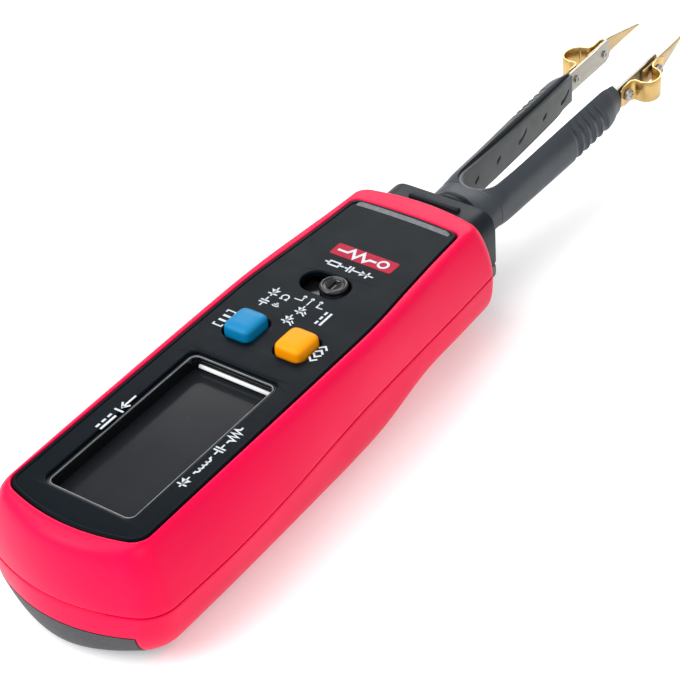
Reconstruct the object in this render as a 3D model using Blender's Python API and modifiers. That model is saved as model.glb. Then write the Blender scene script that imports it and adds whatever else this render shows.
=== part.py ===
"""Component tester: a tweezer-tipped hand-held meter lying on its back. Metres, +Y toward the tips, +Z up."""

import math

import bmesh
import bpy
from mathutils import Matrix, Vector

MM = 0.001
# Design heights are measured from the rim of the display window, and design lengths from its near edge.
MID_Y = 79.0
BACK_Z = 20.9

WALL = 1.8
SEAM_GAP = 0.2
PANEL_TOP = 0.5
PANEL_THICK = 1.2
WINDOW_HALF = 7.8
WINDOW_LENGTH = 34.4
KEY_X = (-4.7, 5.1)
KEY_Y = 43.6
KEY_SIZE = (5.3, 6.0)
KEY_TOP = 2.2
KNOB_XY = (1.1, 59.1)
KNOB_R = 2.36
KNOB_TRAVEL = 3.3
BOARD_Z = (-9.2, -8.2)
CELL_R = 10.0
CELL_THICK = 3.2
CELL_TOP = -16.0
CELL_Y = 3.8
COVER_HALF = 12.5
COVER_END = 16.0
COVER_TOP = -14.8
PIN_X = 3.5
PIN_Z = -10.6
PIN_R = 1.1
FORK_Z = -8.9
HINGE_Y = 104.1
HINGE_X = 5.4
TIP_Y = 168.8
SCREW_Z = -8.1
SCREW_A_Y = 145.4
SCREW_B_Y = 155.8
CASE_SCREWS = ((-9.6, 24.0), (9.6, 24.0), (-8.3, 76.0), (8.3, 76.0))

PANEL_HALF = ((-6, 12.5), (10, 12.45), (50, 12.4), (56, 12.2), (64, 11.5), (75, 10.7), (90, 10.1))
RIM_HALF = ((-10, 13.3), (10, 13.7), (50, 13.9), (60, 13.6), (70, 12.8), (80, 12.0), (90, 11.6))
SEAM_HALF = ((-10, 16.5), (2, 17.1), (12, 17.4), (25, 17.0), (38, 16.1), (50, 15.5), (75, 15.0), (90, 14.5))
SIDE_Y = (6, 16, 26, 36, 44, 50, 54, 58, 62, 65, 69, 76)


def clear():
    for old in list(bpy.data.objects):
        bpy.data.objects.remove(old)
    for name, cutter in (("component_tester", False), ("cutters", True)):
        made = bpy.data.collections.new(name)
        bpy.context.scene.collection.children.link(made)
        made.hide_render = cutter


def metres(point):
    return (point[0] * MM, (point[1] - MID_Y) * MM, (point[2] + BACK_Z) * MM)


def at(table, y):
    """The width that a table of (y, width) gives at y."""
    for (y0, w0), (y1, w1) in zip(table, table[1:]):
        if y <= y1:
            return w0 + (w1 - w0) * max(0.0, y - y0) / (y1 - y0)
    return table[-1][1]


def paint(obj, colour, rough, metal=0.0, alpha=1.0):
    made = bpy.data.materials.new(obj.name + "_look")
    made.use_nodes = True
    shader = made.node_tree.nodes["Principled BSDF"]
    shader.inputs["Base Color"].default_value = (*colour, 1)
    shader.inputs["Roughness"].default_value = rough
    shader.inputs["Metallic"].default_value = metal
    shader.inputs["Alpha"].default_value = alpha
    obj.data.materials.append(made)
    return obj


RED = ((0.90, 0.02, 0.07), 0.35)
BLACK = ((0.012, 0.013, 0.015), 0.5)
DARK = ((0.05, 0.055, 0.06), 0.55)
GREY = ((0.16, 0.165, 0.16), 0.55)
STEEL = ((0.55, 0.53, 0.48), 0.3, 1.0)
GOLD = ((0.83, 0.58, 0.22), 0.22, 1.0)
WHITE = ((0.7, 0.7, 0.68), 0.5)
GREEN = ((0.02, 0.13, 0.05), 0.45)


def link(obj, cutter):
    bpy.data.collections["cutters" if cutter else "component_tester"].objects.link(obj)
    if cutter:
        obj.hide_render = True
        obj.display_type = "WIRE"
    return obj


def tidy(mesh):
    """Welds the mesh and turns its faces outward."""
    form = bmesh.new()
    form.from_mesh(mesh)
    bmesh.ops.remove_doubles(form, verts=form.verts, dist=1e-7)
    bmesh.ops.recalc_face_normals(form, faces=form.faces)
    form.to_mesh(mesh)
    form.free()
    mesh.shade_smooth()
    mesh.set_sharp_from_angle(angle=math.radians(35))


def solid(name, points, faces, cutter=False):
    """One closed mesh from design points, with its origin at its middle."""
    placed = [Vector(metres(p)) for p in points]
    middle = Vector([(min(p[i] for p in placed) + max(p[i] for p in placed)) / 2 for i in range(3)])
    mesh = bpy.data.meshes.new(name)
    mesh.from_pydata([p - middle for p in placed], [], faces)
    tidy(mesh)
    obj = link(bpy.data.objects.new(name, mesh), cutter)
    obj.location = middle
    return obj


def rows(rings, round_again=False):
    """Quads between rings that have equal point counts."""
    count = len(rings[0])
    steps = len(rings) if round_again else len(rings) - 1
    faces = []
    for r in range(steps):
        a, b = r * count, (r + 1) % len(rings) * count
        for i in range(count):
            j = (i + 1) % count
            faces.append((a + i, a + j, b + j, b + i))
    return faces


def loft(name, rings, cutter=False, round_again=False):
    points = [p for ring in rings for p in ring]
    faces = rows(rings, round_again)
    if not round_again:
        faces.append(tuple(range(len(rings[0]))))
        faces.append(tuple(range(len(points) - len(rings[0]), len(points))))
    return solid(name, points, faces, cutter)


def across(start, count):
    """The lid of a ring made by outline: strips from its right side to its left, so it can follow a profile."""
    half = count // 2 + 1
    faces = []
    for i in range(half - 1):
        left_i, left_j = (count - i) % count, (count - i - 1) % count
        corners = [start + i, start + i + 1, start + left_j, start + left_i]
        faces.append(tuple(dict.fromkeys(corners)))
    return faces


def bowed_end(wide, sag, corner):
    """Where a bowed end meets its round corner: how far out, how far along, and the slope's angle there."""
    reach, slope = wide - corner, 0.0
    for _ in range(6):
        slope = math.atan(2 * sag * reach / (wide - corner) ** 2)
        reach = wide - corner * (1 - math.sin(slope))
    return reach, sag * (reach / (wide - corner)) ** 2, slope


def outline(width, near, far, sag, corner, z, end_sag=1.4, end_corner=2.6):
    """A closed plan outline with bowed ends and round corners; z is a function of y."""
    sag, end_sag = 0.82 * sag, 0.82 * end_sag
    start = near + sag + corner
    reach, rise, slope = bowed_end(width(start), sag, corner)
    half = [(reach * k / 3, near + rise * (k / 3) ** 2) for k in range(4)]
    centre = (reach - corner * math.sin(slope), near + rise + corner * math.cos(slope))
    for k in range(1, 5):
        turn = -math.pi / 2 + slope + (math.pi / 2 - slope) * k / 4
        half.append((centre[0] + corner * math.cos(turn), centre[1] + corner * math.sin(turn)))
    half += [(width(y), y) for y in SIDE_Y]
    stop = far - end_sag - end_corner
    reach, rise, slope = bowed_end(width(stop), end_sag, end_corner)
    centre = (reach - end_corner * math.sin(slope), far - rise - end_corner * math.cos(slope))
    for k in range(4):
        turn = (math.pi / 2 - slope) * k / 4
        half.append((centre[0] + end_corner * math.cos(turn), centre[1] + end_corner * math.sin(turn)))
    half += [(reach * (1 - k / 3), far - rise * (1 - k / 3) ** 2) for k in range(4)]
    ring = half + [(-x, y) for x, y in reversed(half[1:-1])]
    return [(x, y, z(y)) for x, y in ring]


def seam(y):
    return -10.4 + 0.02 * (y + 10)


def back(y):
    """The height of the case's back: deep under the display and shallow toward the tips."""
    t = min(1.0, max(0.0, (y - 50) / 18))
    return -BACK_Z + (BACK_Z - 17.0) * t * t * (3 - 2 * t)


def lower_rings(inset, start):
    """Rings of the lower shell's form from the seam down to the back: depth, how far in, how far along."""
    levels = ((0, 0, 0), (0.35, 0.05, -0.3), (0.6, 0.4, -0.2), (0.8, 1.2, 0.2), (0.93, 2.5, 1.1), (1, 4.6, 2.7))
    made = []
    for t, draw, pull in levels:
        def width(y):
            bulge = max(0.0, at(SEAM_HALF, y) - 15.8)
            return at(SEAM_HALF, y) - t * bulge - draw - inset

        def height(y):
            return seam(y) + start + t * (back(y) + inset - seam(y) - start)

        corner = 6.0 - inset + 0.8 * t
        made.append(outline(width, -10.5 + pull + inset, 87.8 - max(0, pull) * 0.7 - inset, 2.3, corner, height))
    return made


def capped(name, rings, cutter=False):
    """A solid from plan outlines, closed at both ends by lids that follow its profile."""
    count = len(rings[0])
    points = [p for ring in rings for p in ring]
    faces = rows(rings) + across(0, count) + across(len(points) - count, count)
    return solid(name, points, faces, cutter)


def from_curve(name, curve, place, turn, cutter):
    """The curve as a mesh object with welded caps."""
    guide = bpy.data.objects.new(name + "_outline", curve)
    bpy.context.scene.collection.objects.link(guide)
    graph = bpy.context.evaluated_depsgraph_get()
    mesh = bpy.data.meshes.new_from_object(guide.evaluated_get(graph))
    bpy.data.objects.remove(guide)
    tidy(mesh)
    obj = link(bpy.data.objects.new(name, mesh), cutter)
    obj.location = place
    obj.rotation_euler = turn
    return obj


def flat_curve(name, shape, middle, thick, closed):
    curve = bpy.data.curves.new(name, "CURVE")
    curve.dimensions = "2D"
    curve.fill_mode = "BOTH" if closed else "NONE"
    curve.extrude = thick / 2 * MM
    spline = curve.splines.new("POLY")
    spline.points.add(len(shape) - 1)
    for point, (u, v) in zip(spline.points, shape):
        point.co = ((u - middle[0]) * MM, (v - middle[1]) * MM, 0, 1)
    spline.use_cyclic_u = closed
    return curve


def plate(name, shape, low, high, cutter=False, along="z"):
    """A flat outline with thickness: (x, y) points from low to high, or (y, z) points when it lies along x."""
    middle = [(min(p[i] for p in shape) + max(p[i] for p in shape)) / 2 for i in range(2)]
    curve = flat_curve(name, shape, middle, high - low, True)
    half = (low + high) / 2
    if along == "x":
        turn = Matrix(((0, 0, 1), (1, 0, 0), (0, 1, 0))).to_euler()
        return from_curve(name, curve, metres((half, *middle)), turn, cutter)
    return from_curve(name, curve, metres((*middle, half)), (0, 0, 0), cutter)


def strip(name, path, low, high, thick):
    """A bent strip standing on edge along a path of (x, y) points."""
    middle = [(min(p[i] for p in path) + max(p[i] for p in path)) / 2 for i in range(2)]
    curve = flat_curve(name, path, middle, high - low, False)
    obj = from_curve(name, curve, metres((*middle, (low + high) / 2)), (0, 0, 0), False)
    made = obj.modifiers.new("Solidify", "SOLIDIFY")
    made.thickness = thick * MM
    made.offset = 0
    made.use_even_offset = True
    return obj


def rounded(cx, cy, width, length, radius, steps=4):
    shape = []
    for quarter, (sx, sy) in enumerate(((1, 1), (-1, 1), (-1, -1), (1, -1))):
        for k in range(steps + 1):
            turn = math.radians(90 * quarter + 90 * k / steps)
            u = cx + sx * (width / 2 - radius) + radius * math.cos(turn)
            v = cy + sy * (length / 2 - radius) + radius * math.sin(turn)
            shape.append((u, v))
    return shape


def block(name, x, y, z, cutter=False):
    low, high = Vector(metres((x[0], y[0], z[0]))), Vector(metres((x[1], y[1], z[1])))
    mesh = bpy.data.meshes.new(name)
    form = bmesh.new()
    bmesh.ops.create_cube(form, size=1.0, matrix=Matrix.Diagonal((*(high - low), 1)))
    form.to_mesh(mesh)
    form.free()
    obj = link(bpy.data.objects.new(name, mesh), cutter)
    obj.location = (low + high) / 2
    return obj


def turned(name, axis, centre, profile, sides=16, cutter=False, bore=None):
    """A Screw about an axis. The profile holds (radius, place) pairs; centre gives the other two coordinates."""
    if profile[0][1] < profile[-1][1]:
        profile = profile[::-1]
    top, bottom = profile[0][1], profile[-1][1]
    half = (top + bottom) / 2
    inner = bore or 0.0
    points = [(inner, top), *profile, (inner, bottom)]
    edges = [(i, i + 1) for i in range(len(points) - 1)]
    if bore:
        edges.append((len(points) - 1, 0))
    mesh = bpy.data.meshes.new(name)
    mesh.from_pydata([(r * MM, 0, (place - half) * MM) for r, place in points], edges, [])
    obj = link(bpy.data.objects.new(name, mesh), cutter)
    made = obj.modifiers.new("Screw", "SCREW")
    made.steps = made.render_steps = sides
    made.use_merge_vertices = True
    made.merge_threshold = 0.00001
    u, v = centre
    obj.location = metres({"x": (half, u, v), "y": (u, half, v), "z": (u, v, half)}[axis])
    obj.rotation_euler = {"x": (0, math.pi / 2, 0), "y": (-math.pi / 2, 0, 0), "z": (0, 0, 0)}[axis]
    return obj


def boolean(obj, cutter, operation="DIFFERENCE"):
    made = obj.modifiers.new(operation.title(), "BOOLEAN")
    made.operation = operation
    made.solver = "EXACT"
    made.object = cutter
    return obj


def bevel(obj, width, segments=2, angle=40):
    made = obj.modifiers.new("Bevel", "BEVEL")
    made.width = width * MM
    made.segments = segments
    made.limit_method = "ANGLE"
    made.angle_limit = math.radians(angle)
    return obj


def upper_case():
    def flat(height):
        return lambda y: height

    def flank(part, bulge):
        def width(y):
            rim = at(RIM_HALF, y) + 0.7
            return rim + part * (at(SEAM_HALF, y) - rim) + bulge

        return width

    def side(part):
        return lambda y: -1.0 + part * (seam(y) + SEAM_GAP / 2 + 1.0)

    def foot(y):
        return seam(y) + SEAM_GAP / 2

    rings = [
        outline(lambda y: at(SEAM_HALF, y) - WALL, -10.5 + WALL, 87.8 - WALL, 2.3, 4.4, foot),
        outline(lambda y: at(RIM_HALF, y) - 0.9, -6.6, 84.6, 2.0, 3.4, flat(-2.6)),
        outline(lambda y: at(PANEL_HALF, y) - 1.6, -4.9, 80.4, 1.5, 2.0, flat(-2.6), 0.5, 1.0),
        outline(lambda y: at(PANEL_HALF, y) - 1.6, -4.9, 80.4, 1.5, 2.0, flat(-0.9), 0.5, 1.0),
        outline(lambda y: at(PANEL_HALF, y) + 0.15, -5.95, 82.15, 1.7, 3.1, flat(-0.9), 0.5, 1.6),
        outline(lambda y: at(PANEL_HALF, y) + 0.15, -5.95, 82.15, 1.7, 3.1, flat(0.35), 0.5, 1.6),
        outline(lambda y: at(PANEL_HALF, y) + 0.4, -6.2, 82.4, 1.7, 3.2, flat(0.5), 0.6, 1.7),
        outline(lambda y: at(RIM_HALF, y) - 0.7, -6.9, 85.8, 1.8, 3.6, flat(0.5), 1.2, 2.4),
        outline(lambda y: at(RIM_HALF, y), -7.9, 86.9, 1.9, 4.3, flat(0.15), 1.3, 2.5),
        outline(lambda y: at(RIM_HALF, y) + 0.7, -9.0, 87.5, 2.1, 4.9, flat(-1.0)),
        outline(flank(0.4, 0.35), -9.9, 87.7, 2.2, 5.4, side(0.35)),
        outline(flank(0.75, 0.25), -10.4, 87.8, 2.3, 5.8, side(0.7)),
        outline(lambda y: at(SEAM_HALF, y), -10.5, 87.8, 2.3, 6.0, foot),
    ]
    paint(loft("upper_case", rings, round_again=True), *RED)


def lower_case():
    outer = lower_rings(0.0, -SEAM_GAP / 2)
    inner = lower_rings(WALL, -SEAM_GAP / 2)
    case = capped("lower_case", list(reversed(inner)) + outer)
    for index, (x, y) in enumerate(CASE_SCREWS):
        base = back(y)
        boss = ((2.5, -9.9), (2.5, base + WALL - 0.6))
        boolean(case, turned(f"boss_{index}", "z", (x, y), boss, 12, True), "UNION")
        hole = ((1.2, -9), (1.2, base + 1.0), (2.3, base + 1.0), (2.3, base - 2))
        boolean(case, turned(f"screw_hole_{index}", "z", (x, y), hole, 12, True))
    for name, side in (("left", -1), ("right", 1)):
        hole = ((1.4, 90), (1.4, 83))
        boolean(case, turned(f"pin_hole_{name}", "y", (side * PIN_X, PIN_Z), hole, 12, True))
    wide = COVER_HALF + 0.3
    boolean(case, block("cover_opening", (-wide, wide), (-16, COVER_END + 0.3), (-24, COVER_TOP + 0.3), True))
    paint(case, *RED)


def battery_cover():
    cover = capped("battery_cover", lower_rings(0.0, -SEAM_GAP / 2))
    limits = block("cover_limits", (-COVER_HALF, COVER_HALF), (-16, COVER_END), (-24, COVER_TOP), True)
    boolean(cover, limits, "INTERSECT")
    boolean(cover, capped("cover_hollow", lower_rings(1.5, 0.0), True))
    paint(cover, *DARK)


def panel():
    shape = outline(lambda y: at(PANEL_HALF, y), -5.8, 82.0, 1.7, 3.0, lambda y: 0, 0.5, 1.5)
    low = PANEL_TOP - PANEL_THICK
    face = bevel(plate("face_panel", [(x, y) for x, y, _ in shape], low, PANEL_TOP), 0.22, 1, 60)
    window = rounded(0, WINDOW_LENGTH / 2, 2 * WINDOW_HALF, WINDOW_LENGTH, 1.2)
    boolean(face, plate("window_opening", window, -4, 3, True))
    for name, x in zip(("hold", "select"), KEY_X):
        shape = rounded(x, KEY_Y, KEY_SIZE[0] + 0.6, KEY_SIZE[1] + 0.6, 1.6)
        boolean(face, plate(name + "_opening", shape, -4, 3, True))
    slot = rounded(KNOB_XY[0] - KNOB_TRAVEL / 2, KNOB_XY[1], KNOB_TRAVEL + 5.3, 5.3, 2.6, 6)
    boolean(face, plate("knob_slot", slot, -4, 3, True))
    paint(face, *BLACK)


def display():
    lens = plate("lcd_lens", rounded(0, 17.2, 18.6, 37.0, 1.0), -3.3, -2.6)
    paint(lens, (0.05, 0.06, 0.06), 0.05, 0.0, 0.35)
    paint(plate("lcd_glass", rounded(0, 18.6, 17.6, 38.6, 0.6, 2), -4.8, -3.6), (0.05, 0.055, 0.05), 0.2)
    paint(plate("lcd_backlight", rounded(0, 17.2, 17.4, 35.6, 0.6, 2), -6.9, -5.0), *WHITE)
    paint(block("zebra_strip", (-7.5, 7.5), (35.6, 37.6), (-8.0, -5.0)), (0.3, 0.05, 0.09), 0.7)
    frame = plate("lcd_frame", rounded(0, 18.6, 20.4, 41.4, 1.0, 2), -8.0, -3.5)
    boolean(frame, plate("lcd_frame_hole", rounded(0, 18.6, 18.0, 39.0, 0.6, 2), -9, -1, True))
    paint(frame, *BLACK)


def electronics():
    paint(plate("main_board", rounded(0, 36.5, 25.2, 69.0, 1.5, 2), *BOARD_Z), *GREEN)
    paint(block("meter_chip", (-4.5, 4.5), (26, 35), (-10.6, -9.4)), *BLACK)
    profile = ((5.4, -9.4), (5.4, -11.5), (5.0, -12.0))
    paint(turned("buzzer", "z", (3.0, 58.0), profile, 20), *BLACK)
    paint(block("slide_switch_body", (-6.5, 5.0), (56.3, 61.5), (-8.0, -4.6)), *STEEL)
    for name, x in zip(("hold", "select"), KEY_X):
        paint(plate(name + "_switch", rounded(x, KEY_Y, 6.0, 6.0, 0.5, 1), -8.0, -6.1), *STEEL)


def keys():
    width, length = KEY_SIZE
    for name, x, colour in zip(("hold", "select"), KEY_X, ((0.04, 0.32, 0.78), (0.98, 0.45, 0.02))):
        cap = bevel(plate(name + "_button", rounded(x, KEY_Y, width, length, 1.3), -2.4, KEY_TOP), 0.7, 2, 60)
        flange = plate(name + "_flange", rounded(x, KEY_Y, width + 1.0, length + 1.0, 1.6), -3.0, -1.8, True)
        paint(boolean(cap, flange, "UNION"), colour, 0.4)
        paint(turned(name + "_plunger", "z", (x, KEY_Y), ((1.4, -3.2), (1.4, -5.0)), 12), *BLACK)


def mode_selector():
    x, y = KNOB_XY
    profile = ((KNOB_R - 0.35, 1.16), (KNOB_R, 0.8), (KNOB_R, -1.3))
    knob = turned("mode_knob", "z", KNOB_XY, profile, 28)
    mark = block("knob_mark", (x - 0.45, x + 0.45), (y - 1.3, y + 1.3), (0.85, 2), True)
    paint(boolean(knob, mark), *BLACK)
    lever = block("mode_lever", (-4.9, 7.5), (56.4, 61.4), (-2.3, -1.6))
    stem = block("lever_stem", (x - 1, x + 1), (y - 1, y + 1), (-4.3, -1.9), True)
    paint(boolean(lever, stem, "UNION"), *BLACK)


def battery():
    low, high = CELL_TOP - CELL_THICK, CELL_TOP
    profile = ((CELL_R - 0.2, high), (CELL_R, high - 0.2), (CELL_R, low + 0.3), (CELL_R - 0.8, low))
    paint(turned("coin_cell", "z", (0, CELL_Y), profile, 40), *STEEL)
    holder = plate("battery_holder", rounded(0, CELL_Y, 22.4, 21.8, 9.5), CELL_TOP - 1.8, CELL_TOP + 1.6)
    recess = ((10.35, CELL_TOP + 0.7), (10.35, -24))
    boolean(holder, turned("cell_recess", "z", (0, CELL_Y), recess, 40, True))
    paint(holder, *BLACK)
    paint(block("battery_contact_minus", (-2, 2), (-2, 8), (CELL_TOP + 0.2, CELL_TOP + 0.5)), *GOLD)
    paint(block("battery_contact_plus", (-2, 2), (15.0, 15.4), (-18.2, -9.5)), *GOLD)


def case_screws():
    for index, (x, y) in enumerate(CASE_SCREWS):
        base = back(y)
        profile = ((0.95, -10.2), (0.95, base + 0.75), (2.0, base + 0.75), (2.0, base + 0.3), (1.8, base + 0.1))
        paint(turned(f"case_screw_{index + 1}", "z", (x, y), profile, 14), *STEEL)


def housing(name, low, high, low_round, high_round):
    """A plug housing lofted from side to side: its front follows the case's bowed end, its long edges are round."""
    half = 10.5

    def drop(x, radius):
        over = max(0.0, abs(x) - half + radius)
        return radius - math.sqrt(max(0.0, radius * radius - over * over))

    rings = []
    for x in (-10.5, -10.1, -9.4, -8.4, -7.0, -3.5, 0, 3.5, 7.0, 8.4, 9.4, 10.1, 10.5):
        front = 88.15 - 1.4 * (x / 12.6) ** 2
        rear = 92.4 if abs(x) == half else 92.8
        z0, z1 = low + drop(x, low_round), high - drop(x, high_round)
        profile = ((front, z0), (rear - 0.4, z0), (rear, z0 + 0.4), (rear, z1 - 0.4), (rear - 0.4, z1), (front, z1))
        rings.append([(x, y, z) for y, z in profile])
    return loft(name, rings)


def plug():
    top = housing("plug_housing_upper", -11.9, -1.9, 0.15, 3.2)
    boolean(top, block("housing_rib", (-5, 5), (89.4, 90.3), (-4, -1.25), True), "UNION")
    paint(top, *DARK)
    paint(housing("plug_housing_lower", -15.8, -12.1, 2.0, 0.15), *GREY)
    for name, side in (("left", -1), ("right", 1)):
        centre = (side * PIN_X, PIN_Z)
        boolean(top, turned(f"pin_seat_{name}", "y", centre, ((1.4, 90.8), (1.4, 84)), 12, True))
        profile = ((PIN_R, 90.5), (PIN_R, 75.8), (0.6, 75.0))
        paint(turned(f"plug_pin_{name}", "y", centre, profile, 12), *GOLD)
        profile = ((1.8, 84.8), (1.8, 74.0))
        paint(turned(f"socket_contact_{name}", "y", centre, profile, 12, bore=1.4), *GOLD)


def squircle(y, half_x, half_z, power, count=24):
    ring = []
    for k in range(count):
        c, s = math.cos(2 * math.pi * (k + 0.5) / count), math.sin(2 * math.pi * (k + 0.5) / count)
        x = half_x * math.copysign(abs(c) ** (2 / power), c)
        ring.append((x, y, FORK_Z + half_z * math.copysign(abs(s) ** (2 / power), s)))
    return ring


def fork_root():
    profile = ((5.3, 96.1), (5.9, 95.6), (5.9, 93.5), (5.5, 93.0))
    paint(turned("neck_collar", "y", (0, FORK_Z), profile, 28), *DARK)
    sizes = ((96.4, 5.2, 3.4, 2.4), (97.3, 6.0, 3.8, 2.4), (99.5, 6.4, 3.95, 2.5), (103.9, 6.45, 4.0, 2.5))
    yoke = loft("fork_yoke", [squircle(*size) for size in sizes])
    boolean(yoke, turned("fork_gap", "z", (0, 104.5), ((4.35, 0), (4.35, -16)), 32, True))
    paint(yoke, *DARK)
    liner = turned("fork_liner", "z", (0, 104.5), ((4.0, -5.0), (4.0, -12.5)), 32, bore=3.3)
    boolean(liner, block("liner_end", (-6, 6), (104.5, 112), (-16, 0), True))
    paint(liner, *GREY)


def arm_section(side, y, inner, outer, half, middle):
    ring = [(side * inner, y, middle - half), (side * inner, y, middle + half)]
    depth = outer - inner
    for k in range(9):
        turn = math.radians(90 - 22.5 * k)
        ring.append((side * (inner + depth * (0.2 + 0.8 * abs(math.cos(turn)) ** 0.9)), y, middle + half * math.sin(turn)))
    return ring


def arm_shell(side, name):
    stations = (
        (104.3, 4.4, 6.4, 3.95, -8.9),
        (112, 4.45, 6.45, 3.95, -8.9),
        (120, 4.55, 6.6, 3.85, -8.8),
        (128, 4.7, 6.8, 3.7, -8.65),
        (136, 4.85, 6.95, 3.4, -8.45),
        (136.1, 5.7, 6.95, 3.4, -8.45),
        (137.6, 5.7, 6.9, 3.3, -8.4),
        (138.3, 5.7, 6.6, 3.15, -8.3),
        (142.5, 5.7, 6.5, 2.9, -8.25),
    )
    paint(loft(name + "_arm_shell", [arm_section(side, *s) for s in stations]), *DARK)


def arm_cover(side, name):
    rings = []
    for y, inner, outer, high, low in ((104.9, 3.3, 4.05, -5.0, -12.5), (142.3, 4.0, 4.55, -5.4, -11.1)):
        rings.append([(side * inner, y, low), (side * outer, y, low), (side * outer, y, high), (side * inner, y, high)])
    cover = loft(name + "_arm_cover", rings)
    for index, (y, length) in enumerate(((108.4, 1.4), (115.8, 1.4), (124.2, 3.8), (132.2, 1.4), (139.2, 3.8))):
        x = sorted((side * 2.5, side * 5.2))
        boolean(cover, block(f"{name}_slot_{index}", x, (y - length / 2, y + length / 2), (-9.4, -8.5), True))
    paint(cover, *GREY)


def screw_holes(obj, side, places):
    for index, y in enumerate(places):
        hole = ((0.98, side * 3), (0.98, side * 8))
        boolean(obj, turned(f"{obj.name}_hole_{index}", "x", (y, SCREW_Z), hole, 12, True))


def blade(side, name):
    shape = ((137, -6.0), (137, -10.2), (156.6, -10.2), (157.7, -9.2), (157.7, -7.0), (156.6, -6.0))
    made = plate(name + "_blade", shape, *sorted((side * 4.8, side * 5.4)), along="x")
    screw_holes(made, side, (SCREW_A_Y, SCREW_B_Y))
    paint(made, *STEEL)


def tip(side, name):
    rings = []
    for y, x, half, middle in (
        (151.5, 5.65, 1.5, SCREW_Z),
        (158.5, 5.65, 1.5, SCREW_Z),
        (163.0, 5.2, 1.0, -8.05),
        (TIP_Y, 4.45, 0.35, -8.0),
    ):
        low, high = middle - half, middle + half
        rings.append([(side * x, y, low), (side * (x + 0.4), y, low), (side * (x + 0.4), y, high), (side * x, y, high)])
    made = loft(name + "_tip", rings)
    screw_holes(made, side, (SCREW_B_Y,))
    paint(made, *GOLD)


def loop(side, name):
    """The gold strip that bows out between the arm's two screws."""
    path = (
        (5.85, 143.2), (5.85, 147.0), (6.5, 147.7), (7.7, 147.5), (8.9, 147.9), (9.7, 149.0), (9.8, 150.7),
        (9.2, 152.2), (8.1, 152.9), (7.0, 153.4), (6.5, 154.3), (6.5, 158.3),
    )
    made = strip(name + "_loop", [(side * x, y) for x, y in path], -9.7, -6.5, 0.32)
    screw_holes(made, side, (SCREW_A_Y, SCREW_B_Y))
    paint(made, *GOLD)


def arm_screws(side, name):
    for label, y, seat in (("root", SCREW_A_Y, 6.15), ("tip", SCREW_B_Y, 6.8)):
        profile = ((0.7, 4.2), (0.7, seat), (1.4, seat), (1.4, seat + 0.6), (0.9, seat + 0.95))
        placed = [(radius, side * place) for radius, place in profile]
        paint(turned(f"{name}_{label}_screw", "x", (y, SCREW_Z), placed, 14), *STEEL)


def arms():
    for side, name in ((-1, "left"), (1, "right")):
        arm_shell(side, name)
        arm_cover(side, name)
        blade(side, name)
        tip(side, name)
        loop(side, name)
        arm_screws(side, name)


def hang(pivot, place, starts, parent=None):
    """An empty on a joint's axis, with the pieces that it carries parented to it."""
    empty = bpy.data.objects.new(pivot, None)
    bpy.data.collections["component_tester"].objects.link(empty)
    empty.empty_display_size = 0.005
    empty.location = metres(place)
    if parent:
        empty.location -= bpy.data.objects[parent].location
        empty.parent = bpy.data.objects[parent]
    for obj in bpy.data.collections["component_tester"].objects:
        if obj.type == "MESH" and obj.parent is None and obj.name.startswith(starts):
            obj.location -= Vector(metres(place))
            obj.parent = empty


clear()
upper_case()
lower_case()
battery_cover()
panel()
display()
electronics()
keys()
mode_selector()
battery()
case_screws()
plug()
fork_root()
arms()
hang("hold_key_pivot", (KEY_X[0], KEY_Y, 0), ("hold_button", "hold_plunger"))
hang("select_key_pivot", (KEY_X[1], KEY_Y, 0), ("select_button", "select_plunger"))
hang("mode_slide_pivot", (*KNOB_XY, 0), ("mode_",))
hang("battery_door_pivot", (0, COVER_END, -BACK_Z), ("battery_cover",))
hang("head_pivot", (0, 87.5, PIN_Z), ("plug_", "neck_", "fork_"))
hang("left_arm_pivot", (-HINGE_X, HINGE_Y, FORK_Z), ("left_",), "head_pivot")
hang("right_arm_pivot", (HINGE_X, HINGE_Y, FORK_Z), ("right_",), "head_pivot")
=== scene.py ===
"""Looks for the component tester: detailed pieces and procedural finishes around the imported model."""

import math

import bmesh
import bpy
from mathutils import Matrix, Vector


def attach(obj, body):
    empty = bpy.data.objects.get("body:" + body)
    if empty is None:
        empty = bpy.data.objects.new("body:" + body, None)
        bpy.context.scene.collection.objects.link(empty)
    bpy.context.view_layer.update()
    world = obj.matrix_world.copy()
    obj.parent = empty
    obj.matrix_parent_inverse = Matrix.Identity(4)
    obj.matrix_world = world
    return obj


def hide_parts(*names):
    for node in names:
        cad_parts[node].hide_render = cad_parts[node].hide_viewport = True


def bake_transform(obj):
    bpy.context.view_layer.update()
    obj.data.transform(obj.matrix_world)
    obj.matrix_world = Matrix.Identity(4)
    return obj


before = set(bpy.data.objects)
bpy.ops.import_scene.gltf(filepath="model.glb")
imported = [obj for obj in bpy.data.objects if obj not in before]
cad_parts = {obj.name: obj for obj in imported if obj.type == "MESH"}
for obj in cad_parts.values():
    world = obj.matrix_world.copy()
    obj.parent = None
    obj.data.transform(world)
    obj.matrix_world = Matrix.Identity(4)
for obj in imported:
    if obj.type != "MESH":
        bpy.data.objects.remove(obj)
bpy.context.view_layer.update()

# Lengths below are in millimetres. Heights are from the display window's rim, lengths from its near edge.
MM = 0.001
WELD = 0.0001
MID_Y = 79.0
BACK_Z = 20.9

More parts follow.
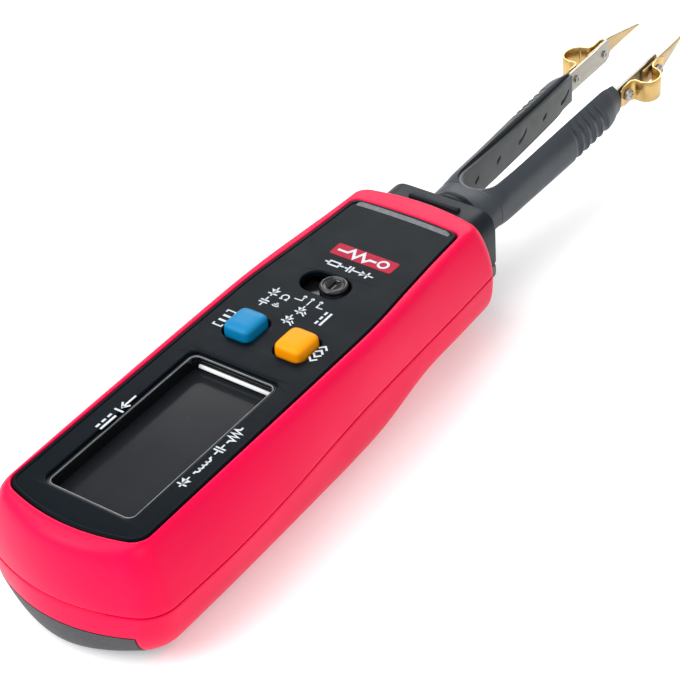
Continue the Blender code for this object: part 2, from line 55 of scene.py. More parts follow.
# Case. The tables give half a width at each y.
WALL = 1.8
SEAM_GAP = 0.2
CASE_NEAR, CASE_FAR, CASE_SAG = -10.5, 87.8, 2.3
CASE_SCREWS = ((-9.6, 24.0), (9.6, 24.0), (-8.3, 76.0), (8.3, 76.0))
RIM_HALF = ((-10, 13.3), (10, 13.7), (50, 13.9), (60, 13.6), (70, 12.8), (80, 12.0), (90, 11.6))
SEAM_HALF = (
    (-10, 16.5), (2, 17.1), (12, 17.4), (25, 17.0), (38, 16.1), (50, 15.5), (75, 15.0), (90, 14.5),
)
COVER_HALF = 12.5
COVER_END = 16.0
COVER_TOP = -14.8
TOOL_NEAR, TOOL_LOW = -16, -24  # Past the case, where cutting tools end.

# Panel, window, keys and knob.
PANEL_TOP = 0.5
PANEL_NEAR, PANEL_FAR = -5.8, 82.0
PANEL_HALF = ((-6, 12.5), (10, 12.45), (50, 12.4), (56, 12.2), (64, 11.5), (75, 10.7), (90, 10.1))
WINDOW_Y = 17.2
KEY_X = (-4.7, 5.1)
KEY_Y = 43.6
KEY_SIZE = (5.3, 6.0)
KEY_TOP = 2.2
KNOB_XY = (1.1, 59.1)
KNOB_R = 2.36
KNOB_TRAVEL = 3.3
LIP_HALF = 9.1
BADGE_XY = (0.83, 68.1)

# Plug and tweezers. The gap between the arms ends in a half round about GAP_Y. They run ARM_RUN from there.
PIN_X = 3.5
PIN_Z = -10.6
PLUG_HALF = 10.5
FORK_Z = -8.9
GAP_Y, GAP_R, GAP_SPREAD = 104.5, 4.04, 0.55
PLATE_R, PLATE_SPREAD = 3.65, 0.6
ARM_RUN = 37.8
GRIP_END = 142.5
SLOT_Z = -9.0
SLOTS = ((108.4, 1.4), (115.8, 1.4), (124.2, 3.0), (132.2, 1.4), (139.6, 3.0))

# The grip's fine line near its root, and its five finger ridges.
LINE_Y, LINE_HALF, LINE_DEPTH = 101.0, 0.16, 0.16
RIDGE_Y, RIDGE_PITCH, RIDGE_DEPTH, RIDGE_CREST = 127.1, 2.18, 0.55, 0.78
RIDGE_LEAN, RIDGE_FAN = 0.7, 0.31

# Blade, tip and screws, then the grip's half width, half height and middle height at each y.
BLADE_FACES = (4.8, 5.4)
TIP_Y = 168.8
SCREW_Z = -8.1
SCREW_A_Y = 145.4
SCREW_B_Y = 155.8
OUTER_HALF = (
    (96.4, 5.1), (97.0, 5.9), (98.0, 6.25), (99.5, 6.4), (104, 6.45), (112, 6.6), (120, 6.9), (128, 7.25),
    (134, 7.4), (138.2, 7.4), (139.6, 7.1), (140.6, 6.8), (GRIP_END, 6.55),
)
OUTER_TALL = (
    (96.4, 3.3), (97.0, 3.8), (98.0, 3.95), (99.5, 4.0), (101, 4.1), (104, 4.85), (112, 5.0), (120, 5.0),
    (128, 4.9), (136, 4.75), (139, 4.6), (140.8, 4.2), (GRIP_END, 3.9),
)
MIDDLE_Z = ((96, -8.9), (112, -8.9), (120, -8.8), (128, -8.65), (136, -8.45), (GRIP_END, -8.25))


# ---- camera and stage ----

SENSOR_WIDTH = 36.0
FOCAL_LENGTH = 116.4907
VIEW_AZIMUTH, VIEW_ELEVATION, VIEW_ROLL = 37.64, 37.64, -4.14
VIEW_DISTANCE = 339.53
VIEW_TARGET = (9.41, 48.94, 0.0)
LIGHT_AIM = (0, 0, 12)
FLOOR_HALF = 3000
FLOOR_DROP = 0.2


def place(x, y, z):
    """A point of the frame, in metres, from this script's own millimetres."""
    return Vector((x, y - MID_Y, z + BACK_Z)) * MM


def link(name, data):
    obj = bpy.data.objects.new(name, data)
    bpy.context.scene.collection.objects.link(obj)
    return obj


def set_camera():
    turn, rise, roll = (math.radians(a) for a in (VIEW_AZIMUTH, VIEW_ELEVATION, VIEW_ROLL))
    outward = Vector((math.sin(turn) * math.cos(rise), -math.cos(turn) * math.cos(rise), math.sin(rise)))
    right = Vector((0, 0, 1)).cross(outward).normalized()
    up = outward.cross(right)
    axes = (
        right * math.cos(roll) + up * math.sin(roll),
        up * math.cos(roll) - right * math.sin(roll),
        outward,
    )
    where = place(*VIEW_TARGET) + outward * VIEW_DISTANCE * MM
    rows = [[*(axis[i] for axis in axes), where[i]] for i in range(3)]
    data = bpy.data.cameras.new("camera")
    camera = link("camera", data)
    camera.matrix_world = Matrix(rows + [[0, 0, 0, 1]])
    data.sensor_width = SENSOR_WIDTH
    data.lens = FOCAL_LENGTH
    data.clip_start = 0.01
    bpy.context.scene.camera = camera


def softbox(name, aim, distance, size, power):
    """A soft light in direction aim from the tester's middle, facing it. Distance and size are in metres."""
    data = bpy.data.lights.new(name, "AREA")
    data.shape = "RECTANGLE"
    data.size, data.size_y = size
    data.energy = power
    lamp = link(name, data)
    direction = Vector(aim).normalized()
    lamp.location = Vector(LIGHT_AIM) * MM + direction * distance
    lamp.rotation_euler = direction.to_track_quat("Z", "Y").to_euler()


def set_stage():
    world = bpy.data.worlds.new("studio")
    bpy.context.scene.world = world
    world.use_nodes = True
    background = world.node_tree.nodes["Background"]
    background.inputs["Color"].default_value = (1, 1, 1, 1)
    background.inputs["Strength"].default_value = 0.62
    softbox("key_light", (-0.42, -0.30, 1.0), 0.75, (0.7, 0.7), 4.3)
    softbox("side_light", (1.0, -0.55, 0.75), 0.8, (0.5, 0.4), 1.1)
    softbox("front_light", (-0.38, -0.80, 0.55), 0.7, (0.35, 0.30), 2.0)
    softbox("rear_light", (-0.55, 1.0, 0.70), 0.8, (0.5, 0.28), 1.9)
    bpy.context.scene.view_settings.view_transform = "Standard"
    mesh = bpy.data.meshes.new("floor")
    half = FLOOR_HALF * MM
    corners = [(-half, -half, 0), (half, -half, 0), (half, half, 0), (-half, half, 0)]
    mesh.from_pydata(corners, [], [(0, 1, 2, 3)])
    floor = link("floor", mesh)
    floor.location.z = -FLOOR_DROP * MM
    paper = finish("floor_paper", (0.93, 0.93, 0.935), 0.85, tones=0.01, grain=(900, 0.04), glow=0.22)
    floor.data.materials.append(paper)


# ---- materials ----

GRAIN_DEPTH = 0.05
ROUGH_SCALE = 2.3
BRUSH_SHADE = 0.72
SPECK_EDGE = 0.06


def finish(
    name, colour, rough, metal=0.0, tones=0.10, tone_scale=60, grain=(2600, 0.15),
    rough_span=0.08, speckle=None, brushed=None, spec=0.5, glow=0.0,
):
    """A procedural finish: cloudy tones, a fine grain in height, and optional specks or brush lines.

    grain is (scale, strength), speckle is (scale, threshold, colour) and brushed is (scale, stretch).
    """
    material = bpy.data.materials.new(name)
    material.use_nodes = True
    tree = material.node_tree
    shader = tree.nodes["Principled BSDF"]
    coords = tree.nodes.new("ShaderNodeTexCoord").outputs["Object"]

    def noise(scale, detail=4.0, stretch=None):
        node = tree.nodes.new("ShaderNodeTexNoise")
        node.inputs["Scale"].default_value = scale
        node.inputs["Detail"].default_value = detail
        source = coords
        if stretch:
            mapping = tree.nodes.new("ShaderNodeMapping")
            mapping.inputs["Scale"].default_value = stretch
            tree.links.new(coords, mapping.inputs["Vector"])
            source = mapping.outputs["Vector"]
        tree.links.new(source, node.inputs["Vector"])
        return node.outputs["Fac"]

    def spread(value, low, high, from_low=0.3, from_high=0.7):
        node = tree.nodes.new("ShaderNodeMapRange")
        ends = {"From Min": from_low, "From Max": from_high, "To Min": low, "To Max": high}
        for label, number in ends.items():
            node.inputs[label].default_value = number
        tree.links.new(value, node.inputs["Value"])
        return node.outputs["Result"]

    def mixed(factor, first, second):
        node = tree.nodes.new("ShaderNodeMix")
        node.data_type = "RGBA"
        tree.links.new(factor, node.inputs[0])
        for socket, value in ((node.inputs[6], first), (node.inputs[7], second)):
            if isinstance(value, tuple):
                socket.default_value = (*value[:3], 1)
            else:
                tree.links.new(value, socket)
        return node.outputs[2]

    darker = tuple(c * (1 - tones) for c in colour)
    lighter = tuple(min(1.0, c * (1 + tones)) for c in colour)
    tint = mixed(spread(noise(tone_scale), 0, 1), darker, lighter)
    height = noise(grain[0], 3.0)
    if brushed:
        height = noise(brushed[0], 2.0, brushed[1])
        tint = mixed(spread(height, 0, 0.5), tint, tuple(c * BRUSH_SHADE for c in colour))
    if speckle:
        scale, threshold, shade = speckle
        tint = mixed(spread(noise(scale, 1.0), 0, 1, threshold, threshold + SPECK_EDGE), tint, shade)
    tree.links.new(tint, shader.inputs["Base Color"])
    patches = noise(tone_scale * ROUGH_SCALE)
    roughness = spread(patches, rough - rough_span / 2, rough + rough_span / 2)
    tree.links.new(roughness, shader.inputs["Roughness"])
    bump = tree.nodes.new("ShaderNodeBump")
    bump.inputs["Strength"].default_value = grain[1]
    bump.inputs["Distance"].default_value = GRAIN_DEPTH * MM
    tree.links.new(height, bump.inputs["Height"])
    tree.links.new(bump.outputs["Normal"], shader.inputs["Normal"])
    shader.inputs["Metallic"].default_value = metal
    shader.inputs["Specular IOR Level"].default_value = spec
    if glow:
        tree.links.new(tint, shader.inputs["Emission Color"])
        shader.inputs["Emission Strength"].default_value = glow
    return material


# Case, panel and keys.
RED = finish(
    "red_satin_plastic", (0.77, 0.0008, 0.055), 0.36,
    tones=0.05, tone_scale=45, grain=(5200, 0.16), spec=0.12,
)
BLACK = finish(
    "black_satin_panel", (0.0008, 0.0034, 0.0062), 0.36,
    tones=0.12, tone_scale=80, grain=(6500, 0.30), spec=0.06,
)
GLOSS = finish(
    "black_gloss_bezel", (0.005, 0.006, 0.007), 0.18, grain=(2200, 0.03), rough_span=0.05, spec=0.22,
)
# Light grey ring round the lens: a painted highlight along the window's inner edge.
BEAD_HIGHLIGHT = finish("rim_bead_painted_highlight", (0.20, 0.21, 0.22), 0.30, tones=0.2, tone_scale=400, grain=(2200, 0.05), spec=0.6)
KNOB = finish("black_knob_plastic", (0.006, 0.007, 0.008), 0.22, grain=(6000, 0.12))
# Lighter grey lip at the panel's far end: a painted highlight of the light on its slope.
LIP_HIGHLIGHT = finish("panel_end_lip_painted_highlight", (0.105, 0.110, 0.125), 0.42, tones=0.25, tone_scale=1500, grain=(5000, 0.6))
BLUE = finish("blue_key_plastic", (0.002, 0.188, 0.400), 0.36, tones=0.04, grain=(5200, 0.10), spec=0.15)
AMBER = finish("amber_key_plastic", (0.88, 0.292, 0.001), 0.36, tones=0.04, grain=(5200, 0.10), spec=0.11)
COVER = finish(
    "battery_cover_plastic", (0.036, 0.038, 0.044), 0.60, grain=(3600, 0.55),
    speckle=(5200, 0.62, (0.085, 0.085, 0.095)),
)
# Pale ledge on the window's far wall: a painted highlight strip of the lights.
LEDGE_HIGHLIGHT = finish("window_ledge_painted_highlight", (0.80, 0.82, 0.84), 0.30, tones=0.06, tone_scale=500, grain=(3000, 0.05))
WHITE_INK = finish("white_print", (0.52, 0.57, 0.62), 0.55, tones=0.05, tone_scale=700, grain=(8000, 0.15))
RED_INK = finish(
    "red_badge_print", (0.36, 0.004, 0.026), 0.45, tones=0.08, tone_scale=900, grain=(8000, 0.15), spec=0.12,
)

# Plug and tweezers.
PLUG = finish("plug_dark_plastic", (0.007, 0.011, 0.015), 0.38, grain=(5600, 0.25), spec=0.13)
BASE = finish("plug_base_plastic", (0.052, 0.054, 0.057), 0.46, grain=(5600, 0.25), spec=0.4)
GRIP = finish("arm_soft_plastic", (0.031, 0.038, 0.047), 0.42, tone_scale=120, grain=(5600, 0.22), spec=0.34)
LINER = finish("inner_plate_plastic", (0.082, 0.093, 0.094), 0.48, tone_scale=150, grain=(4200, 0.25))
STEEL = finish(
    "brushed_steel", (0.38, 0.36, 0.31), 0.40, 0.9,
    tones=0.06, grain=(3000, 0.08), brushed=(1400, (1, 0.06, 1)),
)
SCREW = finish("screw_steel", (0.40, 0.39, 0.38), 0.32, 1.0, tones=0.08, grain=(5200, 0.10))
GOLD = finish("polished_brass", (0.58, 0.39, 0.15), 0.30, 1.0, tone_scale=220, grain=(1800, 0.08))
TIP_GOLD = finish(
    "gilt_tip", (0.50, 0.37, 0.19), 0.36, 1.0,
    tone_scale=260, grain=(2400, 0.10), brushed=(1500, (1, 0.05, 1)),
)

# Display and electronics.
LENS = finish(
    "smoked_lens", (0.014, 0.016, 0.019), 0.16, tones=0.15, tone_scale=35, grain=(900, 0.02),
    rough_span=0.05, speckle=(1600, 0.80, (0.10, 0.10, 0.10)), spec=0.12,
)
LCD = finish(
    "display_glass", (0.027, 0.029, 0.032), 0.24,
    tones=0.25, tone_scale=40, grain=(300, 0.0), rough_span=0.04, spec=0.3,
)
WHITE = finish("backlight_diffuser", (0.72, 0.73, 0.70), 0.45, tones=0.04, grain=(2600, 0.2))
RUBBER = finish("zebra_rubber", (0.33, 0.05, 0.09), 0.65, tones=0.2, tone_scale=2500, grain=(4000, 0.3))
BOARD = finish(
    "board_laminate", (0.010, 0.110, 0.050), 0.42, tones=0.25, tone_scale=700, grain=(2500, 0.3),
    speckle=(900, 0.60, (0.05, 0.26, 0.12)),
)
CHIP = finish("chip_epoxy", (0.014, 0.014, 0.016), 0.55, tones=0.15, grain=(7000, 0.4), spec=0.4)
CELL = finish(
    "cell_steel", (0.62, 0.63, 0.64), 0.28, 1.0, tones=0.05, grain=(3000, 0.10), brushed=(1100, (1, 0.05, 1)),
)
CONTACT = finish("contact_gilt", (0.70, 0.50, 0.22), 0.30, 1.0, tones=0.08, grain=(3000, 0.12))


# ---- mesh tools ----


def close_up(mesh, weld=True):
    """Joins points that coincide and turns every face outward."""
    edit = bmesh.new()
    edit.from_mesh(mesh)
    if weld:
        bmesh.ops.remove_doubles(edit, verts=edit.verts, dist=WELD * MM)
    bmesh.ops.recalc_face_normals(edit, faces=edit.faces)
    edit.to_mesh(mesh)
    edit.free()


def hand_over(obj, body, replaces):
    """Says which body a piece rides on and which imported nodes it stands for."""
    if body:
        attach(obj, body)
    if replaces:
        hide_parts(*replaces)
    return obj


def piece(name, points, faces, material, body=None, replaces=(), smooth=40, weld=True):
    """A closed mesh from points in millimetres."""
    mesh = bpy.data.meshes.new(name)
    mesh.from_pydata([place(*p) for p in points], [], faces)
    close_up(mesh, weld)
    mesh.materials.append(material)
    obj = link(name, mesh)
    soften(obj, smooth)
    return hand_over(obj, body, replaces)


def soften(obj, angle):
    obj.data.shade_smooth()
    obj.data.set_sharp_from_angle(angle=math.radians(angle))


def apply_modifiers(obj):
    """Turns the modifiers of a piece into its mesh."""
    graph = bpy.context.evaluated_depsgraph_get()
    mesh = bpy.data.meshes.new_from_object(obj.evaluated_get(graph))
    obj.modifiers.clear()
    obj.data = mesh


def even_normals(obj):
    """Lets big flat faces set the shading, so that only the small rounded edges look curved."""
    modifier = obj.modifiers.new("normals", "WEIGHTED_NORMAL")
    modifier.keep_sharp = True
    modifier.weight = 90
    apply_modifiers(obj)


def subdivide(obj, levels=2):
    modifier = obj.modifiers.new("subdivide", "SUBSURF")
    modifier.levels = modifier.render_levels = levels
    apply_modifiers(obj)
    soften(obj, 60)
    return obj


def round_edges(obj, width):
    modifier = obj.modifiers.new("edges", "BEVEL")
    modifier.width = width * MM
    modifier.segments = 2
    modifier.limit_method = "ANGLE"
    modifier.angle_limit = math.radians(35)
    apply_modifiers(obj)
    soften(obj, 40)


def cut(obj, *tools, operation="DIFFERENCE", angle=40):
    for tool in tools:
        modifier = obj.modifiers.new("cut", "BOOLEAN")
        modifier.solver = "EXACT"
        modifier.operation = operation
        modifier.object = tool
    apply_modifiers(obj)
    soften(obj, angle)
    for tool in tools:
        bpy.data.objects.remove(tool)
    even_normals(obj)


def loft(rings, wrap=False, caps=True):
    """Points and faces of a skin over the rings, wrapped round into a tube or capped at both ends."""
    count = len(rings[0])
    points = [p for ring in rings for p in ring]
    faces = []
    for r in range(len(rings) - (0 if wrap else 1)):
        a, b = r * count, ((r + 1) % len(rings)) * count
        faces += [(a + i, a + (i + 1) % count, b + (i + 1) % count, b + i) for i in range(count)]
    if caps and not wrap:
        last = len(points) - count
        faces += [tuple(range(count)), tuple(range(last, last + count))]
    return points, faces


def lidded(rings):
    """A loft closed by strips from side to side, for plan outlines that mirror across x = 0."""
    points, faces = loft(rings, caps=False)
    count = len(rings[0])
    for start in (0, len(points) - count):
        for i in range(count // 2):
            quad = [start + i, start + i + 1, start + (count - i - 1) % count, start + (count - i) % count]
            faces.append(tuple(dict.fromkeys(quad)))
    return points, faces


def at(table, y):
    """A smooth value of the table at y."""
    if y <= table[0][0]:
        return table[0][1]
    if y >= table[-1][0]:
        return table[-1][1]
    k = max(i for i in range(len(table) - 1) if table[i][0] <= y)

    def slope(i):
        a, b = max(0, i - 1), min(len(table) - 1, i + 1)
        return (table[b][1] - table[a][1]) / (table[b][0] - table[a][0])

    (y0, v0), (y1, v1) = table[k], table[k + 1]
    h = y1 - y0
    t = (y - y0) / h
    return (
        v0 * (1 + 2 * t) * (1 - t) ** 2
        + slope(k) * h * t * (1 - t) ** 2
        + v1 * t * t * (3 - 2 * t)
        + slope(k + 1) * h * t * t * (t - 1)
    )


def smooth_path(path):
    """A Catmull-Rom curve through the path's points."""

    def between(a, b, c, d, t):
        bend = (2 * a - 5 * b + 4 * c - d) * t * t + (3 * b - a - 3 * c + d) * t**3
        return 0.5 * (2 * b + (c - a) * t + bend)

    steps = 6
    made = []
    for i in range(len(path) - 1):
        near = (path[max(0, i - 1)], path[i], path[i + 1], path[min(len(path) - 1, i + 2)])
        for k in range(steps):
            made.append(tuple(between(*values, k / steps) for values in zip(*near)))
    made.append(path[-1])
    return made


def square_to(path):
    """The direction square to the path, in plan, at each of its points."""
    made = []
    for behind, ahead in zip(path[:1] + path, path[1:] + path[-1:]):
        dx, dy = ahead[0] - behind[0], ahead[1] - behind[1]
        length = math.hypot(dx, dy)
        made.append((dy / length, -dx / length))
    return made


def strip_section(near, far, low, high, soft):
    """A flat strip's section, with its corners cut off: across from near to far and up from low to high."""
    return (
        (near, low + soft), (near + soft, low), (far - soft, low), (far, low + soft),
        (far, high - soft), (far - soft, high), (near + soft, high), (near, high - soft),
    )


def arc(cx, cy, radius, start, stop, steps):
    turns = [math.radians(start + (stop - start) * k / steps) for k in range(steps + 1)]
    return [(cx + radius * math.cos(turn), cy + radius * math.sin(turn)) for turn in turns]


def rounded(x, y, width, length, radius, steps=6):
    """A rectangle with round corners."""
    points = []
    for cx, cy, start in ((1, -1, -90), (1, 1, 0), (-1, 1, 90), (-1, -1, 180)):
        middle = (x + cx * (width / 2 - radius), y + cy * (length / 2 - radius))
        points += arc(*middle, radius, start, start + 90, steps)
    return points


# A bowed end takes this share of the sag it is given.
BOW = 0.82
END_STEPS = 8
SIDE_STEPS = 24


def bowed_end(wide, sag, corner):
    """Where a bowed end meets its round corner: how far out, how far along, and the slope's angle there."""
    reach, slope = wide - corner, 0.0
    for _ in range(6):
        slope = math.atan(2 * sag * reach / (wide - corner) ** 2)
        reach = wide - corner * (1 - math.sin(slope))
    return reach, sag * (reach / (wide - corner)) ** 2, slope


def outline(width, near, far, sag, corner, z, end_sag=1.4, end_corner=2.6):
    """A closed plan outline with bowed ends and round corners; width and z are functions of y."""
    sag, end_sag = BOW * sag, BOW * end_sag
    reach, rise, slope = bowed_end(width(near + sag + corner), sag, corner)
    half = [(reach * k / END_STEPS, near + rise * (k / END_STEPS) ** 2) for k in range(END_STEPS + 1)]
    middle = (reach - corner * math.sin(slope), near + rise + corner * math.cos(slope))
    half += arc(*middle, corner, math.degrees(slope) - 90, 0, END_STEPS)[1:]
    start = middle[1]
    reach, rise, slope = bowed_end(width(far - end_sag - end_corner), end_sag, end_corner)
    middle = (reach - end_corner * math.sin(slope), far - rise - end_corner * math.cos(slope))
    stop = middle[1]
    lengths = [start + (stop - start) * k / SIDE_STEPS for k in range(1, SIDE_STEPS)]
    half += [(width(y), y) for y in lengths]
    half += arc(*middle, end_corner, 0, 90 - math.degrees(slope), END_STEPS)[:-1]
    shares = [1 - k / END_STEPS for k in range(END_STEPS + 1)]
    half += [(reach * share, far - rise * share**2) for share in shares]
    ring = half + [(-x, y) for x, y in reversed(half[1:-1])]
    return [(x, y, z(y)) for x, y in ring]


def plate(name, loops, low, high, edge, material, body=None, replaces=(), axis="z"):
    """A plate with rounded edges: the first loop is its outline and the others are its holes."""
    curve = bpy.data.curves.new(name, "CURVE")
    curve.dimensions = "2D"
    curve.fill_mode = "BOTH"
    for index, loop in enumerate(loops):
        area = sum(a[0] * b[1] - b[0] * a[1] for a, b in zip(loop, loop[1:] + loop[:1]))
        path = loop if (area > 0) == (index == 0) else loop[::-1]
        spline = curve.splines.new("POLY")
        spline.points.add(len(path) - 1)
        for point, (x, y) in zip(spline.points, path):
            point.co = (x * MM, y * MM, 0, 1)
        spline.use_cyclic_u = True
    curve.extrude = ((high - low) / 2 - edge) * MM
    curve.bevel_depth = edge * MM
    curve.bevel_resolution = 2
    curve.offset = -edge * MM
    shape = link(name, curve)
    graph = bpy.context.evaluated_depsgraph_get()
    mesh = bpy.data.meshes.new_from_object(shape.evaluated_get(graph))
    bpy.data.objects.remove(shape)
    middle = (high + low) / 2 * MM
    if axis == "z":
        mesh.transform(Matrix.Translation((0, -MID_Y * MM, middle + BACK_Z * MM)))
    else:
        # The loops are (y, z) and the plate's thickness is along x.
        upright = ((0, 0, 1, middle), (1, 0, 0, -MID_Y * MM), (0, 1, 0, BACK_Z * MM), (0, 0, 0, 1))
        mesh.transform(Matrix(upright))
    close_up(mesh)
    mesh.materials.append(material)
    obj = link(name, mesh)
    soften(obj, 40)
    even_normals(obj)
    return hand_over(obj, body, replaces)


def block(name, x, y, z):
    """A plain box, only ever used as a cutting tool."""
    points = [(a, b, c) for c in z for b in y for a in x]
    faces = [(0, 2, 3, 1), (4, 5, 7, 6), (0, 1, 5, 4), (2, 6, 7, 3), (0, 4, 6, 2), (1, 3, 7, 5)]
    return piece(name, points, faces, BLACK)


def turned(name, axis, centre, profile, sides, material, body=None, replaces=()):
    """A round piece about a line along axis through centre, from (radius, along) pairs."""
    rings = []
    for radius, along in profile:
        ring = []
        for k in range(sides):
            turn = 2 * math.pi * k / sides
            a, b = centre[0] + radius * math.cos(turn), centre[1] + radius * math.sin(turn)
            ring.append({"z": (a, b, along), "y": (a, along, b), "x": (along, a, b)}[axis])
        rings.append(ring)
    points, faces = loft(rings)
    return piece(name, points, faces, material, body, replaces)


# ---- case ----

# The lower moulding's rings: share of the way down, how much narrower, and how far the ends pull in.
LOWER_RINGS = (
    (0, 0, 0), (0.02, 0, 0), (0.35, 0.05, -0.3), (0.6, 0.4, -0.2), (0.8, 1.2, 0.2), (0.93, 2.5, 1.1),
    (1, 4.6, 2.7),
)


def seam(y):
    return -10.4 + 0.02 * (y + 10)


def back(y):
    """The height of the case's back, which steps up toward the tweezers."""
    t = min(1.0, max(0.0, (y - 50) / 18))
    return -BACK_Z + (BACK_Z - 17.0) * t * t * (3 - 2 * t)


def lower_rings(inset, start):
    made = []
    for t, draw, pull in LOWER_RINGS:

        def width(y):
            bulge = max(0.0, at(SEAM_HALF, y) - 15.8)
            return at(SEAM_HALF, y) - t * bulge - draw - inset

        def height(y):
            return seam(y) + start + t * (back(y) + inset - seam(y) - start)

        near = CASE_NEAR + pull + inset
        far = CASE_FAR - max(0, pull) * 0.7 - inset
        made.append(outline(width, near, far, CASE_SAG, 6.0 - inset + 0.8 * t, height))
    return made


def upper_case():
    def flat(height):
        return lambda y: height

    def beside(table, extra):
        return lambda y: at(table, y) + extra

    def flank(part, bulge):
        def width(y):
            rim = at(RIM_HALF, y) + 0.7
            return rim + part * (at(SEAM_HALF, y) - rim) + bulge

        return width

    def down(part):
        return lambda y: -1.0 + part * (seam(y) + SEAM_GAP / 2 + 1.0)

    def foot(y):
        return seam(y) + SEAM_GAP / 2

    # From the inside of the wall at the seam, up round the panel's seat, over the rim and down outside.
    ledge, wall = (-2.6, -0.9), (-0.9, -0.75, 0.25)
    rings = [
        outline(beside(SEAM_HALF, -WALL), CASE_NEAR + WALL, CASE_FAR - WALL, CASE_SAG, 4.4, foot),
        outline(beside(RIM_HALF, -0.9), -6.6, 84.6, 2.0, 3.4, flat(-2.6)),
        *(outline(beside(PANEL_HALF, -1.6), -4.9, 80.4, 1.5, 2.0, flat(z), 0.5, 1.0) for z in ledge),
        *(outline(beside(PANEL_HALF, 0.15), -5.95, 82.15, 1.7, 3.1, flat(z), 0.5, 1.6) for z in wall),
        outline(beside(PANEL_HALF, 0.19), -5.99, 82.19, 1.7, 3.1, flat(0.42), 0.5, 1.6),
        outline(beside(PANEL_HALF, 0.32), -6.12, 82.32, 1.7, 3.2, flat(0.5), 0.5, 1.7),
        outline(beside(PANEL_HALF, 0.5), -6.3, 82.5, 1.7, 3.25, flat(0.52), 0.6, 1.8),
        outline(beside(RIM_HALF, -0.7), -6.9, 85.8, 1.8, 3.6, flat(0.5), 1.2, 2.4),
        outline(beside(RIM_HALF, 0), -7.9, 86.9, 1.9, 4.3, flat(0.15), 1.3, 2.5),
        outline(beside(RIM_HALF, 0.7), -9.0, 87.5, 2.1, 4.9, flat(-1.0)),
        outline(flank(0.4, 0.35), -9.9, 87.7, 2.2, 5.4, down(0.35)),
        outline(flank(0.75, 0.25), -10.4, CASE_FAR, CASE_SAG, 5.8, down(0.7)),
        outline(beside(SEAM_HALF, 0.02), CASE_NEAR, CASE_FAR, CASE_SAG, 6.0, lambda y: foot(y) + 0.12),
        outline(beside(SEAM_HALF, -0.1), CASE_NEAR + 0.1, CASE_FAR - 0.1, CASE_SAG, 6.0, foot),
        outline(beside(SEAM_HALF, -0.4), CASE_NEAR + 0.4, CASE_FAR - 0.4, CASE_SAG, 5.7, foot),
    ]
    points, faces = loft(rings, wrap=True)
    subdivide(piece("upper_shell", points, faces, RED, "case", ["upper_case"], 60))


def lower_case():
    outer = lower_rings(0.0, -SEAM_GAP / 2)
    inner = lower_rings(WALL, -SEAM_GAP / 2)
    points, faces = lidded(list(reversed(inner)) + outer)
    shell = subdivide(piece("lower_shell", points, faces, RED, "case", ["lower_case"], 60))
    tools = []
    for index, (x, y) in enumerate(CASE_SCREWS):
        hole = ((2.5, back(y) + 1.1), (2.5, back(y) - 3))
        tools.append(turned(f"screw_well_{index}", "z", (x, y), hole, 32, BLACK))
    for side in (-1, 1):
        hole = ((1.4, 83), (1.4, 90))
        tools.append(turned(f"pin_well_{side + 1}", "y", (side * PIN_X, PIN_Z), hole, 24, BLACK))
    room = 0.25
    wide = COVER_HALF + room
    along, up = (TOOL_NEAR, COVER_END + room), (TOOL_LOW, COVER_TOP + room)
    tools.append(block("cover_opening", (-wide, wide), along, up))
    cut(shell, *tools, angle=35)


def battery_cover():
    """The slide-off cover, with a row of thumb ridges and a chevron that shows which way it slides."""
    points, faces = lidded(lower_rings(0.0, -SEAM_GAP / 2))
    cover = subdivide(piece("cell_cover", points, faces, COVER, "battery_door", ["battery_cover"], 60))
    points, faces = lidded(lower_rings(1.5, 0.0))
    hollow = piece("cover_hollow", points, faces, BLACK)
    limits = block("cover_limits", (-COVER_HALF, COVER_HALF), (TOOL_NEAR, COVER_END), (TOOL_LOW, COVER_TOP))
    cut(cover, limits, operation="INTERSECT")
    tools = [hollow]
    for index in range(5):
        ridge = rounded(0, 11.4 - 1.5 * index, 11.0 - 1.2 * index, 0.75, 0.35, 4)
        tools.append(plate(f"ridge_{index}", [ridge], -21.6, -20.5, 0.05, BLACK))
    chevron = [(-2.2, 1.6), (0, -0.6), (2.2, 1.6), (2.2, 2.7), (0, 0.5), (-2.2, 2.7)]
    tools.append(plate("chevron", [chevron], -21.6, -20.55, 0.05, BLACK))
    cut(cover, *tools, angle=35)


def cross_slot(x, y, long, wide, corner, low, high, axis="z"):
    """Two crossed bars, which cut the slot of a screw head."""
    sizes = ((long, wide), (wide, long))
    return [
        plate(f"cross_{k}", [rounded(x, y, *size, corner, 3)], low, high, 0.02, BLACK, axis=axis)
        for k, size in enumerate(sizes)
    ]


def case_screws():
    for index, (x, y) in enumerate(CASE_SCREWS):
        base = back(y)
        name = f"case_screw_{index + 1}"
        profile = (
            (0.95, -10.2), (0.95, base + 0.9), (2.05, base + 0.9), (2.05, base + 0.62),
            (1.9, base + 0.42), (1.55, base + 0.28),
        )
        head = turned(name + "_head", "z", (x, y), profile, 32, SCREW, "case", [name])
        cut(head, *cross_slot(x, y, 2.1, 0.5, 0.12, base - 0.5, base + 0.7))


# ---- panel ----


def panel_outline(inset):
    near, far = PANEL_NEAR + inset, PANEL_FAR - inset
    ring = outline(lambda y: at(PANEL_HALF, y) - inset, near, far, 1.7, 3.0 - inset, lambda y: 0, 0.5, 1.5)
    return [(x, y) for x, y, _ in ring]


def window_outline(width, length, radius):
    return rounded(0, WINDOW_Y, width, length, radius, 8)


